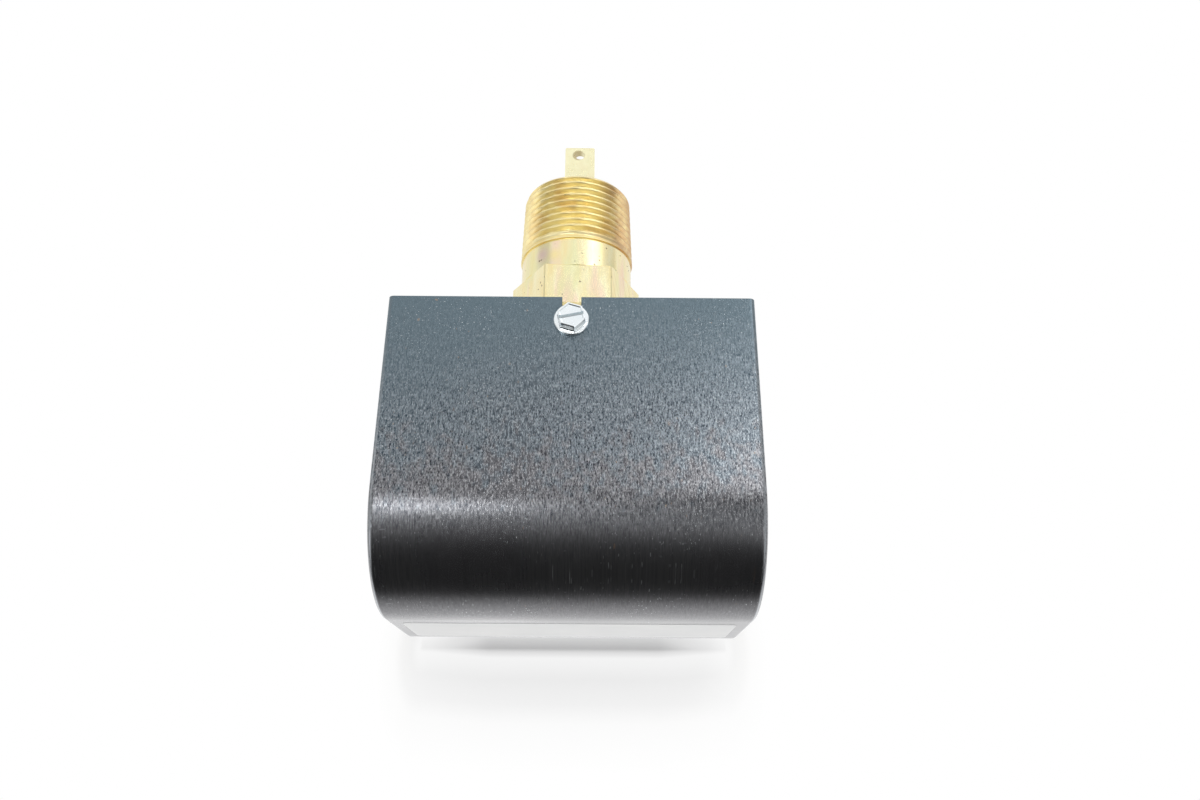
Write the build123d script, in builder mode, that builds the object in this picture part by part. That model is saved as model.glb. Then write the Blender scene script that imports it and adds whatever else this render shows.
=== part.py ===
from build123d import *
import math
import os

os.makedirs("parts", exist_ok=True)

# Lengths are in millimetres. The origin is the middle of the pipe thread's free end.
# +Y points out of the thread, +Z is the front of the enclosure and +X is its right side.

# Enclosure cover: one sheet wrapped over the front, the end and the back
cover_w = 92.6
cover_t = 82.8
cover_edge_y = -55.8
cover_flat = 49.0
bend_r = 27.25
sheet = 1.0
lip_depth = 5.0
side_round = 1.4
slot_w = 4.8
screw_y = cover_edge_y - 6.6
end_y = cover_edge_y - cover_flat - bend_r
half_t = cover_t / 2
fit_gap = 0.1
side_gap = 0.3
tongue_x = 20.0
tongue_half_w = 6.0
tongue_t = 1.2
tongue_len = 7.0
tongue_gap = 0.2
cover_screw_r = 2.05
cover_screw_len = 8.4
washer_r = 4.35
washer_t = 0.9
head_flats = 6.35
head_h = 2.3
head_turn = -17.0
head_round = 0.3

# Label on the end face
label_w = 85.0
label_top_z = 9.4
label_low_z = -14.0
label_t = 0.15

# Base plate: a web behind the pipe fitting with a flange at the front and at the back
base_t = 1.5
gasket_t = 0.8
web_out_y = cover_edge_y - gasket_t
web_in_y = web_out_y - base_t
flange_len = 13.0
flange_out_z = half_t - sheet - fit_gap
flange_in_z = flange_out_z - base_t
boss_r = 3.6
boss_h = 2.0

# End plates
plate_t = 1.2
plate_out_x = cover_w / 2 - sheet - side_gap
plate_in_x = plate_out_x - plate_t
plate_inset = sheet + 0.5
foot_w = 7.0
foot_half_z = flange_in_z - 8.8
rivet_x = plate_in_x - foot_w / 2
rivet_z = foot_half_z - 8.0
rivet_r = 1.6
rivet_head_r = 2.8
rivet_head_t = 1.0
conduit_r = 11.1
conduit_y = cover_edge_y - 31.5
conduit_z = -18.0

# Pipe fitting, 1 in taper thread with a hexagon
thread_len = 23.0
thread_end_r = 16.4
thread_taper = 1 / 32
thread_pitch = 25.4 / 11.5
thread_depth = 1.2
thread_chamfer = 1.0
shank_r = 16.65
hex_flats = 33.34
hex_turn = -3.0
hex_top_y = cover_edge_y + 24.3
bore_r = 11.5
step_y = cover_edge_y + 6.5
seal_bore_r = 9.2
spigot_r = 12.0
spigot_end_y = cover_edge_y - 8.5
spigot_gap = 0.1
locknut_flats = 30.0
locknut_t = 5.0
gasket_out_r = 16.4

# Pivot and paddle arm
pivot_y = cover_edge_y + 14.5
pin_r = 2.0
pin_half = 14.4
press_gap = 0.02
run_gap = 0.05
arm_w = 9.5
arm_t = 2.5
arm_shift = 0.5
arm_tip_y = 21.5
arm_hole_y = arm_tip_y - 2.9
arm_hole_r = 1.6
arm_corner = 0.6
arm_boss_r = 5.0
arm_boss_half = 6.0
arm_neck_r = 4.0
arm_neck_y = pivot_y - 9.0
rod_r = 2.5
rod_in_y = pivot_y - 3.6
rod_end_y = pivot_y - 44.0
arm_travel_deg = 3.5

# Bellows seal round the arm
bellows_gap = 0.4
bellows_out_r = 7.8
bellows_in_r = 4.6
bellows_wall = 0.4
bellows_root_r = 5.1
bellows_waves = 3
bellows_flange_r = 11.4
bellows_flange_t = 0.6

# Lever on the inner end of the arm
lever_y = pivot_y - 32.0
lever_len = 8.0
lever_t = 1.5
lever_half_w = 20.0
hub_r = 4.5
side_x = 14.0
seat_r = 4.9
seat_t = 1.0
seat_pin_r = 2.9
seat_pin_h = 1.8
seat_edge = 0.6

# Range spring, screw and nut
shelf_t = 1.5
shelf_low_z = flange_in_z - 14.8
shelf_top_z = shelf_low_z + shelf_t
shelf_back_y = lever_y - 8.0
range_foot_top_z = flange_in_z - 0.8
range_foot_left_x = 6.0
spring_r = 4.0
wire_r = 0.5
spring_turns = 4
nut_low_z = shelf_low_z - 8.0
nut_t = 4.0
nut_half_x = 6.8
nut_half_y = 5.5
nut_corner = 0.8
cheek_in_x = side_x + nut_half_x + 0.2
cheek_near_y = lever_y + 10.0
cheek_low_z = nut_low_z - 4.0
screw_r = 2.5
screw_low_z = lever_t / 2 + seat_t + seat_pin_h + 4.45
screw_edge = 0.4
screw_slot_w = 1.2
screw_slot_d = 1.3
screw_head_r = 4.5
screw_head_t = 3.0
clip_r = 4.4
clip_t = 0.8

# Snap switch
case_right_x = -5.0
case_left_x = -0.516 * plate_in_x
case_near_y = lever_y + 6.0
case_len = 49.0
case_far_y = case_near_y - case_len
case_low_z = 6.0
case_top_z = 20.0
case_round = 1.0
lid_t = 2.5
rib_h = 4.5
rib_t = 1.5
plunger_r = 1.5
plunger_low_z = 0.9
plunger_top_z = 9.0
plunger_well_z = 12.0
plunger_tip = 0.7
sheet_t = 0.4
sheet_low_z = case_low_z - 1.0
sheet_top_z = case_top_z + 6.0
bracket_in_x = case_left_x - sheet_t
bracket_out_x = bracket_in_x - shelf_t
bracket_far_y = case_far_y + 1.0
bracket_foot_x = -(plate_in_x - foot_w - 0.8)
mount_ys = (case_near_y - 13.0, case_far_y + 11.0)
mount_z = (case_low_z + case_top_z) / 2
mount_screw_r = 1.5
mount_head_r = 2.8
mount_head_t = 2.0
mount_nut_flats = 5.5
mount_nut_t = 2.2
terminal_pitch = 16.0
terminal_ys = tuple(case_near_y - 8.0 - terminal_pitch * place for place in range(3))
terminal_x = -13.0
terminal_t = 0.8
terminal_half_y = 4.0
terminal_left = 5.0
terminal_right = 6.0
terminal_head_r = 3.2
terminal_head_t = 2.2
terminal_slot_w = 1.0
terminal_slot_d = 1.0

# Limit bracket round the rod's end
limit_half_w = 4.6
limit_foot_z = -(flange_in_z - 2.8)
limit_low_z = -(flange_in_z - 15.3)
limit_top_z = 8.0
limit_back_y = rod_end_y + 2.5
limit_gap = 0.2

# Small screws that hold the brackets to the web
small_r = 1.7
small_head_r = 3.2
small_head_t = 2.2
small_gap = 0.05
range_screw_at = (side_x, (shelf_top_z + range_foot_top_z) / 2)
limit_screw_at = (0.0, limit_foot_z + 6.0)
switch_foot_x = (bracket_foot_x + bracket_out_x) / 2
switch_screws_at = ((switch_foot_x, sheet_low_z + 5.5), (switch_foot_x, sheet_top_z - 5.0))
ground_at = (0.64 * plate_in_x, limit_foot_z + 6.0)
ground_washer_r = 4.6
ground_washer_t = 0.8
ground_head_r = 3.8
ground_head_t = 2.4


def wrap(inset, open_y):
    """Outline of the wrapped cover, inset evenly from its outside, out to open_y."""
    low_y = end_y + inset
    with BuildSketch(Plane.YZ) as outline:
        with Locations(((low_y + open_y) / 2, 0)):
            Rectangle(open_y - low_y, cover_t - 2 * inset)
        fillet(outline.vertices().group_by(Axis.X)[0], bend_r - inset)
    return outline.sketch


def block(x0, x1, y0, y1, z0, z1, mode=Mode.ADD):
    """A box between two corners, for use inside a part."""
    with Locations(((x0 + x1) / 2, (y0 + y1) / 2, (z0 + z1) / 2)):
        Box(x1 - x0, y1 - y0, z1 - z0, mode=mode)


def across(x, z, radius, y_from, y_to, mode=Mode.ADD):
    """A cylinder along Y from y_from down to y_to, for use inside a part."""
    with BuildSketch(Plane.XZ.offset(-y_from)) as ring:
        with Locations((x, z)):
            Circle(radius)
    extrude(ring.sketch, amount=y_from - y_to, mode=mode)


def upright(x, y, radius, z_from, z_to, mode=Mode.ADD):
    """A cylinder along Z from z_from up to z_to, for use inside a part."""
    with BuildSketch(Plane.XY.offset(z_from)) as ring:
        with Locations((x, y)):
            Circle(radius)
    extrude(ring.sketch, amount=z_to - z_from, mode=mode)


def sideways(y, z, radius, x_from, x_to, mode=Mode.ADD):
    """A cylinder along X from x_from to x_to, for use inside a part."""
    with BuildSketch(Plane.YZ.offset(x_from)) as ring:
        with Locations((y, z)):
            Circle(radius)
    extrude(ring.sketch, amount=x_to - x_from, mode=mode)


def turned(points, mode=Mode.ADD):
    """A solid of revolution about the fitting's axis, from points of radius and Y."""
    with BuildSketch(Plane.XY) as half:
        with BuildLine():
            Polyline(*points, close=True)
        make_face()
    revolve(half.sketch, axis=Axis.Y, mode=mode)


# Cover with side lips, an open slot for its screw and two tongues behind the rear flange
with BuildPart() as cover:
    extrude(wrap(0, cover_edge_y), amount=cover_w / 2, both=True)
    rim = cover.faces().filter_by(Axis.X).edges().filter_by_position(
        Axis.Y, cover_edge_y - 0.01, cover_edge_y + 0.01
    )
    fillet(cover.faces().filter_by(Axis.X).edges() - rim, side_round)
    extrude(wrap(sheet, cover_edge_y + 1), amount=cover_w / 2 - sheet, both=True, mode=Mode.SUBTRACT)
    extrude(wrap(lip_depth, cover_edge_y + 1), amount=cover_w, both=True, mode=Mode.SUBTRACT)
    with BuildSketch(Plane.XY.offset(half_t - 2 * sheet)):
        with Locations((0, screw_y)):
            Circle(slot_w / 2)
        with Locations((0, (screw_y + cover_edge_y + 1) / 2)):
            Rectangle(slot_w, cover_edge_y + 1 - screw_y)
    extrude(amount=4 * sheet, mode=Mode.SUBTRACT)
    tongue_back_y = web_in_y - flange_len - 3.0
    tongue_low_z = -flange_in_z + tongue_gap
    for middle in (-tongue_x, tongue_x):
        block(
            middle - tongue_half_w, middle + tongue_half_w,
            tongue_back_y, tongue_back_y + tongue_t,
            -half_t + sheet / 2, tongue_low_z + tongue_t,
        )
        block(
            middle - tongue_half_w, middle + tongue_half_w,
            tongue_back_y, tongue_back_y + tongue_len,
            tongue_low_z, tongue_low_z + tongue_t,
        )
cover.part.label = "cover"
export_step(cover.part, "parts/cover.step")

with BuildPart() as cover_label:
    block(-label_w / 2, label_w / 2, end_y - label_t, end_y, label_low_z, label_top_z)
    fillet(cover_label.edges().filter_by(Axis.Y), 1.5)
cover_label.part.label = "cover_label"
export_step(cover_label.part, "parts/cover_label.step")

# Cover screw: hexagon head on a round washer face
with BuildPart() as cover_screw:
    upright(0, screw_y, washer_r, half_t, half_t + washer_t)
    with BuildSketch(Plane.XY.offset(half_t + washer_t)):
        with Locations((0, screw_y)):
            RegularPolygon(head_flats / 2, 6, major_radius=False, rotation=head_turn)
    extrude(amount=head_h)
    chamfer(cover_screw.faces().sort_by(Axis.Z)[-1].edges(), head_round)
    upright(0, screw_y, cover_screw_r, half_t - cover_screw_len, half_t)
cover_screw.part.label = "cover_screw"
export_step(cover_screw.part, "parts/cover_screw.step")

# Base plate with its two flanges and a raised nut for the cover screw
with BuildPart() as base_plate:
    block(-plate_out_x, plate_out_x, web_in_y, web_out_y, -flange_out_z, flange_out_z)
    for sign in (-1, 1):
        low_z = min(sign * flange_in_z, sign * flange_out_z)
        block(
            -plate_in_x + 0.2, plate_in_x - 0.2, web_in_y - flange_len, web_in_y + 0.01,
            low_z, low_z + base_t,
        )
    upright(0, screw_y, boss_r, flange_in_z - boss_h, flange_in_z)
    upright(
        0, screw_y, cover_screw_r + fit_gap, flange_in_z - boss_h - 1, flange_out_z + 1,
        mode=Mode.SUBTRACT,
    )
    across(0, 0, spigot_r + spigot_gap, web_out_y + 1, web_in_y - 1, mode=Mode.SUBTRACT)
    for x, z in (range_screw_at, limit_screw_at, ground_at) + switch_screws_at:
        across(x, z, small_r + small_gap, web_out_y + 1, web_in_y - 1, mode=Mode.SUBTRACT)
    for x in (-rivet_x, rivet_x):
        for z in (-rivet_z, rivet_z):
            across(x, z, rivet_r + run_gap, web_out_y + 1, web_in_y - 1, mode=Mode.SUBTRACT)
base_plate.part.label = "base_plate"
export_step(base_plate.part, "parts/base_plate.step")


def end_plate(side, with_conduit):
    """One end plate with its riveted foot; side is -1 for the left and 1 for the right."""
    with BuildPart() as plate:
        low_x = min(side * plate_in_x, side * plate_out_x)
        extrude(wrap(plate_inset, web_in_y), amount=plate_out_x, both=True)
        if side > 0:
            block(-cover_w, plate_in_x, end_y, 0, -half_t, half_t, mode=Mode.SUBTRACT)
        else:
            block(-plate_in_x, cover_w, end_y, 0, -half_t, half_t, mode=Mode.SUBTRACT)
        foot_x = side * (plate_in_x - foot_w)
        block(
            min(foot_x, side * plate_in_x), max(foot_x, side * plate_in_x),
            web_in_y - plate_t, web_in_y, -foot_half_z, foot_half_z,
        )
        for z in (-rivet_z, rivet_z):
            across(
                side * rivet_x, z, rivet_r + run_gap, web_in_y + 1, web_in_y - plate_t - 1,
                mode=Mode.SUBTRACT,
            )
        if with_conduit:
            sideways(
                conduit_y, conduit_z, conduit_r, low_x - 1, low_x + plate_t + 1,
                mode=Mode.SUBTRACT,
            )
    return plate.part


left_end_plate = end_plate(-1, False)
left_end_plate.label = "left_end_plate"
export_step(left_end_plate, "parts/left_end_plate.step")

right_end_plate = end_plate(1, True)
right_end_plate.label = "right_end_plate"
export_step(right_end_plate, "parts/right_end_plate.step")

with BuildPart() as end_plate_rivets:
    for x in (-rivet_x, rivet_x):
        for z in (-rivet_z, rivet_z):
            across(x, z, rivet_r, web_out_y, web_in_y - plate_t)
            across(x, z, rivet_head_r, web_in_y - plate_t, web_in_y - plate_t - rivet_head_t)
end_plate_rivets.part.label = "end_plate_rivets"
export_step(end_plate_rivets.part, "parts/end_plate_rivets.step")

# Pipe fitting: taper thread, shank, hexagon and a spigot through the web
with BuildPart() as pipe_fitting:
    ridges = []
    for ridge in range(int(thread_len / thread_pitch)):
        y = -thread_chamfer - ridge * thread_pitch
        crest_r = thread_end_r - y * thread_taper
        ridges += [(crest_r, y), (crest_r - thread_depth, y - thread_pitch / 2)]
    turned([
        (0, 0),
        (thread_end_r - thread_depth, 0),
        *ridges[:-1],
        (shank_r, -thread_len),
        (shank_r, hex_top_y),
        (spigot_r, hex_top_y),
        (spigot_r, spigot_end_y),
        (0, spigot_end_y),
    ])
    with BuildSketch(Plane.XZ.offset(-hex_top_y)):
        RegularPolygon(hex_flats / 2, 6, major_radius=False, rotation=hex_turn)
    extrude(amount=hex_top_y - cover_edge_y)
    turned([
        (0, 1),
        (bore_r + 1.0, 1),
        (bore_r + 1.0, 0),
        (bore_r, -1.0),
        (bore_r, step_y),
        (seal_bore_r, step_y),
        (seal_bore_r, spigot_end_y - 1),
        (0, spigot_end_y - 1),
    ], mode=Mode.SUBTRACT)
    sideways(pivot_y, 0, pin_r + press_gap, -pin_half - 0.1, pin_half + 0.1, mode=Mode.SUBTRACT)
pipe_fitting.part.label = "pipe_fitting"
export_step(pipe_fitting.part, "parts/pipe_fitting.step")

with BuildPart() as fitting_gasket:
    across(0, 0, gasket_out_r, cover_edge_y, web_out_y)
    across(0, 0, spigot_r + spigot_gap, cover_edge_y + 1, web_out_y - 1, mode=Mode.SUBTRACT)
fitting_gasket.part.label = "fitting_gasket"
export_step(fitting_gasket.part, "parts/fitting_gasket.step")

with BuildPart() as fitting_locknut:
    with BuildSketch(Plane.XZ.offset(-web_in_y)):
        RegularPolygon(locknut_flats / 2, 6, major_radius=False)
        Circle(spigot_r + press_gap, mode=Mode.SUBTRACT)
    extrude(amount=locknut_t)
fitting_locknut.part.label = "fitting_locknut"
export_step(fitting_locknut.part, "parts/fitting_locknut.step")

# Bellows: pointed waves between the arm's neck and the end of the spigot
with BuildPart() as bellows:
    wave_top_y = arm_neck_y - bellows_gap
    wave_pitch = (wave_top_y - spigot_end_y - bellows_wall) / bellows_waves
    waves = [(bellows_in_r, wave_top_y)]
    for wave in range(bellows_waves):
        y = wave_top_y - wave * wave_pitch
        waves += [(bellows_root_r, y), (bellows_out_r, y - wave_pitch / 2)]
    waves += [
        (bellows_root_r, wave_top_y - bellows_waves * wave_pitch),
        (bellows_root_r, spigot_end_y),
        (bellows_flange_r, spigot_end_y),
        (bellows_flange_r, spigot_end_y - bellows_flange_t),
        (bellows_in_r, spigot_end_y - bellows_flange_t),
    ]
    turned(waves)
bellows.part.label = "bellows"
export_step(bellows.part, "parts/bellows.step")

with BuildPart() as pivot_pin:
    sideways(pivot_y, 0, pin_r, -pin_half, pin_half)
pivot_pin.part.label = "pivot_pin"
export_step(pivot_pin.part, "parts/pivot_pin.step")

# Paddle arm: flat strip, pivot boss and a neck that takes the rod
with BuildPart() as paddle_arm:
    block(
        arm_shift - arm_w / 2, arm_shift + arm_w / 2, pivot_y, arm_tip_y,
        -arm_t / 2, arm_t / 2,
    )
    fillet(paddle_arm.edges().filter_by(Axis.Z).group_by(Axis.Y)[-1], arm_corner)
    upright(arm_shift, arm_hole_y, arm_hole_r, -arm_t, arm_t, mode=Mode.SUBTRACT)
    sideways(pivot_y, 0, arm_boss_r, -arm_boss_half, arm_boss_half)
    across(0, 0, arm_neck_r, pivot_y, arm_neck_y)
    across(0, 0, rod_r + press_gap, rod_in_y + 0.1, arm_neck_y - 1, mode=Mode.SUBTRACT)
    sideways(
        pivot_y, 0, pin_r + run_gap, -arm_boss_half - 1, arm_boss_half + 1,
        mode=Mode.SUBTRACT,
    )
paddle_arm.part.label = "paddle_arm"
export_step(paddle_arm.part, "parts/paddle_arm.step")

with BuildPart() as arm_rod:
    across(0, 0, rod_r, rod_in_y, rod_end_y)
    chamfer(arm_rod.edges().group_by(Axis.Y)[0], 0.5)
arm_rod.part.label = "arm_rod"
export_step(arm_rod.part, "parts/arm_rod.step")

# Lever plate on a hub that is fixed to the rod
with BuildPart() as switch_lever:
    block(
        -lever_half_w, lever_half_w, lever_y - lever_len / 2, lever_y + lever_len / 2,
        -lever_t / 2, lever_t / 2,
    )
    fillet(switch_lever.edges().filter_by(Axis.Z), 2.0)
    across(0, 0, hub_r, lever_y + lever_len / 2, lever_y - lever_len / 2)
    across(
        0, 0, rod_r + press_gap, lever_y + lever_len, lever_y - lever_len, mode=Mode.SUBTRACT
    )
switch_lever.part.label = "switch_lever"
export_step(switch_lever.part, "parts/switch_lever.step")

with BuildPart() as spring_seat:
    upright(side_x, lever_y, seat_r, lever_t / 2, lever_t / 2 + seat_t)
    upright(side_x, lever_y, seat_pin_r, lever_t / 2 + seat_t, lever_t / 2 + seat_t + seat_pin_h)
    chamfer(spring_seat.edges().group_by(Axis.Z)[-1], seat_edge)
spring_seat.part.label = "spring_seat"
export_step(spring_seat.part, "parts/spring_seat.step")

spring_low_z = lever_t / 2 + seat_t
with BuildPart() as range_spring:
    coil_h = nut_low_z - spring_low_z - 2 * wire_r
    with BuildLine() as coil:
        Helix(
            pitch=coil_h / spring_turns, height=coil_h, radius=spring_r,
            center=(side_x, lever_y, spring_low_z + wire_r),
        )
    with BuildSketch(Plane(origin=coil.line @ 0, z_dir=coil.line % 0)):
        RegularPolygon(wire_r, 6)
    sweep(path=coil.line, is_frenet=True)
range_spring.part.label = "range_spring"
export_step(range_spring.part, "parts/range_spring.step")

with BuildPart() as range_nut:
    block(
        side_x - nut_half_x, side_x + nut_half_x, lever_y - nut_half_y, lever_y + nut_half_y,
        nut_low_z, nut_low_z + nut_t,
    )
    chamfer(range_nut.edges().filter_by(Axis.Z), nut_corner)
    upright(
        side_x, lever_y, screw_r + run_gap, nut_low_z - 1, nut_low_z + nut_t + 1,
        mode=Mode.SUBTRACT,
    )
range_nut.part.label = "range_nut"
export_step(range_nut.part, "parts/range_nut.step")

# Range bracket: foot on the web, shelf for the screw and a cheek that stops the nut turning
with BuildPart() as range_bracket:
    left_x = range_foot_left_x
    right_x = cheek_in_x + shelf_t
    block(left_x, right_x, web_in_y - shelf_t, web_in_y, shelf_low_z, range_foot_top_z)
    block(left_x, right_x, shelf_back_y, web_in_y, shelf_low_z, shelf_top_z)
    block(cheek_in_x, right_x, shelf_back_y, cheek_near_y, cheek_low_z, shelf_top_z)
    upright(
        side_x, lever_y, screw_r + fit_gap, shelf_low_z - 1, shelf_top_z + 1,
        mode=Mode.SUBTRACT,
    )
    x, z = range_screw_at
    across(x, z, small_r + small_gap, web_in_y + 1, web_in_y - shelf_t - 1, mode=Mode.SUBTRACT)
range_bracket.part.label = "range_bracket"
export_step(range_bracket.part, "parts/range_bracket.step")

with BuildPart() as range_screw:
    upright(side_x, lever_y, screw_head_r, shelf_top_z, shelf_top_z + screw_head_t)
    chamfer(range_screw.edges().group_by(Axis.Z)[-1], screw_edge)
    head_top_z = shelf_top_z + screw_head_t
    block(
        side_x - screw_head_r - 1, side_x + screw_head_r + 1,
        lever_y - screw_slot_w / 2, lever_y + screw_slot_w / 2,
        head_top_z - screw_slot_d, head_top_z + 1, mode=Mode.SUBTRACT,
    )
    upright(side_x, lever_y, screw_r, screw_low_z, shelf_top_z)
range_screw.part.label = "range_screw"
export_step(range_screw.part, "parts/range_screw.step")

with BuildPart() as range_screw_clip:
    clip_top_z = shelf_low_z - fit_gap
    upright(side_x, lever_y, clip_r, clip_top_z - clip_t, clip_top_z)
    upright(
        side_x, lever_y, screw_r + press_gap, clip_top_z - clip_t - 1, clip_top_z + 1,
        mode=Mode.SUBTRACT,
    )
range_screw_clip.part.label = "range_screw_clip"
export_step(range_screw_clip.part, "parts/range_screw_clip.step")

# Limit bracket: the slot in its upright sets the arm's travel
with BuildPart() as limit_bracket:
    limit_travel = (pivot_y - limit_back_y) * math.tan(math.radians(arm_travel_deg))
    block(-limit_half_w, limit_half_w, web_in_y - shelf_t, web_in_y, limit_foot_z, limit_low_z + shelf_t)
    block(-limit_half_w, limit_half_w, limit_back_y, web_in_y, limit_low_z, limit_low_z + shelf_t)
    block(-limit_half_w, limit_half_w, limit_back_y, limit_back_y + shelf_t, limit_low_z, limit_top_z)
    with BuildSketch(Plane.XZ.offset(-limit_back_y - shelf_t - 1)):
        with Locations((0, limit_travel / 2)):
            SlotCenterToCenter(limit_travel, 2 * (rod_r + limit_gap), rotation=90)
    extrude(amount=shelf_t + 2, mode=Mode.SUBTRACT)
    x, z = limit_screw_at
    across(x, z, small_r + small_gap, web_in_y + 1, web_in_y - shelf_t - 1, mode=Mode.SUBTRACT)
limit_bracket.part.label = "limit_bracket"
export_step(limit_bracket.part, "parts/limit_bracket.step")

# Switch bracket: upright plate beside the switch with a foot on the web
with BuildPart() as switch_bracket:
    block(bracket_out_x, bracket_in_x, bracket_far_y, web_in_y, sheet_low_z, sheet_top_z)
    block(
        bracket_foot_x, bracket_in_x, web_in_y - shelf_t, web_in_y, sheet_low_z, sheet_top_z
    )
    for x, z in switch_screws_at:
        across(x, z, small_r + small_gap, web_in_y + 1, web_in_y - shelf_t - 1, mode=Mode.SUBTRACT)
    for y in mount_ys:
        sideways(
            y, mount_z, mount_screw_r + run_gap, bracket_out_x - 1, bracket_in_x + 1,
            mode=Mode.SUBTRACT,
        )
switch_bracket.part.label = "switch_bracket"
export_step(switch_bracket.part, "parts/switch_bracket.step")

with BuildPart() as insulating_sheet:
    block(bracket_in_x, case_left_x, case_far_y, case_near_y, sheet_low_z, sheet_top_z)
    for y in mount_ys:
        sideways(
            y, mount_z, mount_screw_r + run_gap, bracket_in_x - 1, case_left_x + 1,
            mode=Mode.SUBTRACT,
        )
insulating_sheet.part.label = "insulating_sheet"
export_step(insulating_sheet.part, "parts/insulating_sheet.step")

# Snap switch case with wells for the plunger and for the mounting screws
with BuildPart() as switch_case:
    block(case_left_x, case_right_x, case_far_y, case_near_y, case_low_z, case_top_z)
    fillet(switch_case.edges().filter_by(Axis.Z), case_round)
    upright(
        -side_x, lever_y, plunger_r + run_gap, case_low_z - 1, plunger_well_z, mode=Mode.SUBTRACT
    )
    for y in mount_ys:
        sideways(
            y, mount_z, mount_screw_r + run_gap, case_left_x - 1, case_right_x + 1,
            mode=Mode.SUBTRACT,
        )
switch_case.part.label = "switch_case"
export_step(switch_case.part, "parts/switch_case.step")

with BuildPart() as switch_lid:
    lid_top_z = case_top_z + lid_t
    block(case_left_x, case_right_x, case_far_y, case_near_y, case_top_z, lid_top_z)
    fillet(switch_lid.edges().filter_by(Axis.Z), case_round)
    for near, far in zip(terminal_ys, terminal_ys[1:]):
        rib_y = (near + far) / 2
        block(
            case_left_x + case_round, case_right_x - case_round,
            rib_y - rib_t / 2, rib_y + rib_t / 2,
            lid_top_z, lid_top_z + rib_h,
        )
    for y in terminal_ys:
        upright(
            terminal_x, y, mount_screw_r + run_gap, case_top_z + terminal_t / 2, lid_top_z + 1,
            mode=Mode.SUBTRACT,
        )
switch_lid.part.label = "switch_lid"
export_step(switch_lid.part, "parts/switch_lid.step")

with BuildPart() as switch_plunger:
    upright(-side_x, lever_y, plunger_r, plunger_low_z, plunger_top_z)
    chamfer(switch_plunger.edges().group_by(Axis.Z)[0], plunger_tip)
switch_plunger.part.label = "switch_plunger"
export_step(switch_plunger.part, "parts/switch_plunger.step")

with BuildPart() as switch_terminals:
    for y in terminal_ys:
        block(
            terminal_x - terminal_left, terminal_x + terminal_right,
            y - terminal_half_y, y + terminal_half_y, lid_top_z, lid_top_z + terminal_t,
        )
        upright(
            terminal_x, y, mount_screw_r + run_gap, lid_top_z - 1, lid_top_z + 2,
            mode=Mode.SUBTRACT,
        )
switch_terminals.part.label = "switch_terminals"
export_step(switch_terminals.part, "parts/switch_terminals.step")

with BuildPart() as terminal_screws:
    terminal_top_z = lid_top_z + terminal_t
    for y in terminal_ys:
        upright(terminal_x, y, mount_screw_r, case_top_z + terminal_t, terminal_top_z)
        upright(terminal_x, y, terminal_head_r, terminal_top_z, terminal_top_z + terminal_head_t)
        block(
            terminal_x - terminal_head_r - 1, terminal_x + terminal_head_r + 1,
            y - terminal_slot_w / 2, y + terminal_slot_w / 2,
            terminal_top_z + terminal_head_t - terminal_slot_d,
            terminal_top_z + terminal_head_t + 1, mode=Mode.SUBTRACT,
        )
terminal_screws.part.label = "terminal_screws"
export_step(terminal_screws.part, "parts/terminal_screws.step")

with BuildPart() as switch_mounting_screws:
    for y in mount_ys:
        sideways(y, mount_z, mount_screw_r, bracket_out_x - mount_nut_t - terminal_t, case_right_x)
        sideways(y, mount_z, mount_head_r, case_right_x, case_right_x + mount_head_t)
switch_mounting_screws.part.label = "switch_mounting_screws"
export_step(switch_mounting_screws.part, "parts/switch_mounting_screws.step")

with BuildPart() as switch_mounting_nuts:
    for y in mount_ys:
        with BuildSketch(Plane.YZ.offset(bracket_out_x - mount_nut_t)):
            with Locations((y, mount_z)):
                RegularPolygon(mount_nut_flats / 2, 6, major_radius=False)
                Circle(mount_screw_r + press_gap, mode=Mode.SUBTRACT)
        extrude(amount=mount_nut_t)
switch_mounting_nuts.part.label = "switch_mounting_nuts"
export_step(switch_mounting_nuts.part, "parts/switch_mounting_nuts.step")

with BuildPart() as bracket_screws:
    for x, z in (range_screw_at, limit_screw_at) + switch_screws_at:
        across(x, z, small_r, web_out_y, web_in_y - shelf_t)
        across(x, z, small_head_r, web_in_y - shelf_t, web_in_y - shelf_t - small_head_t)
bracket_screws.part.label = "bracket_screws"
export_step(bracket_screws.part, "parts/bracket_screws.step")

with BuildPart() as ground_screw:
    x, z = ground_at
    across(x, z, small_r, web_out_y, web_in_y)
    washer_low_y = web_in_y - ground_washer_t
    across(x, z, ground_washer_r, web_in_y, washer_low_y)
    across(x, z, ground_head_r, washer_low_y, washer_low_y - ground_head_t)
ground_screw.part.label = "ground_screw"
export_step(ground_screw.part, "parts/ground_screw.step")
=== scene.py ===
import bmesh
import bpy
import math
from mathutils import Matrix, Vector


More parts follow.
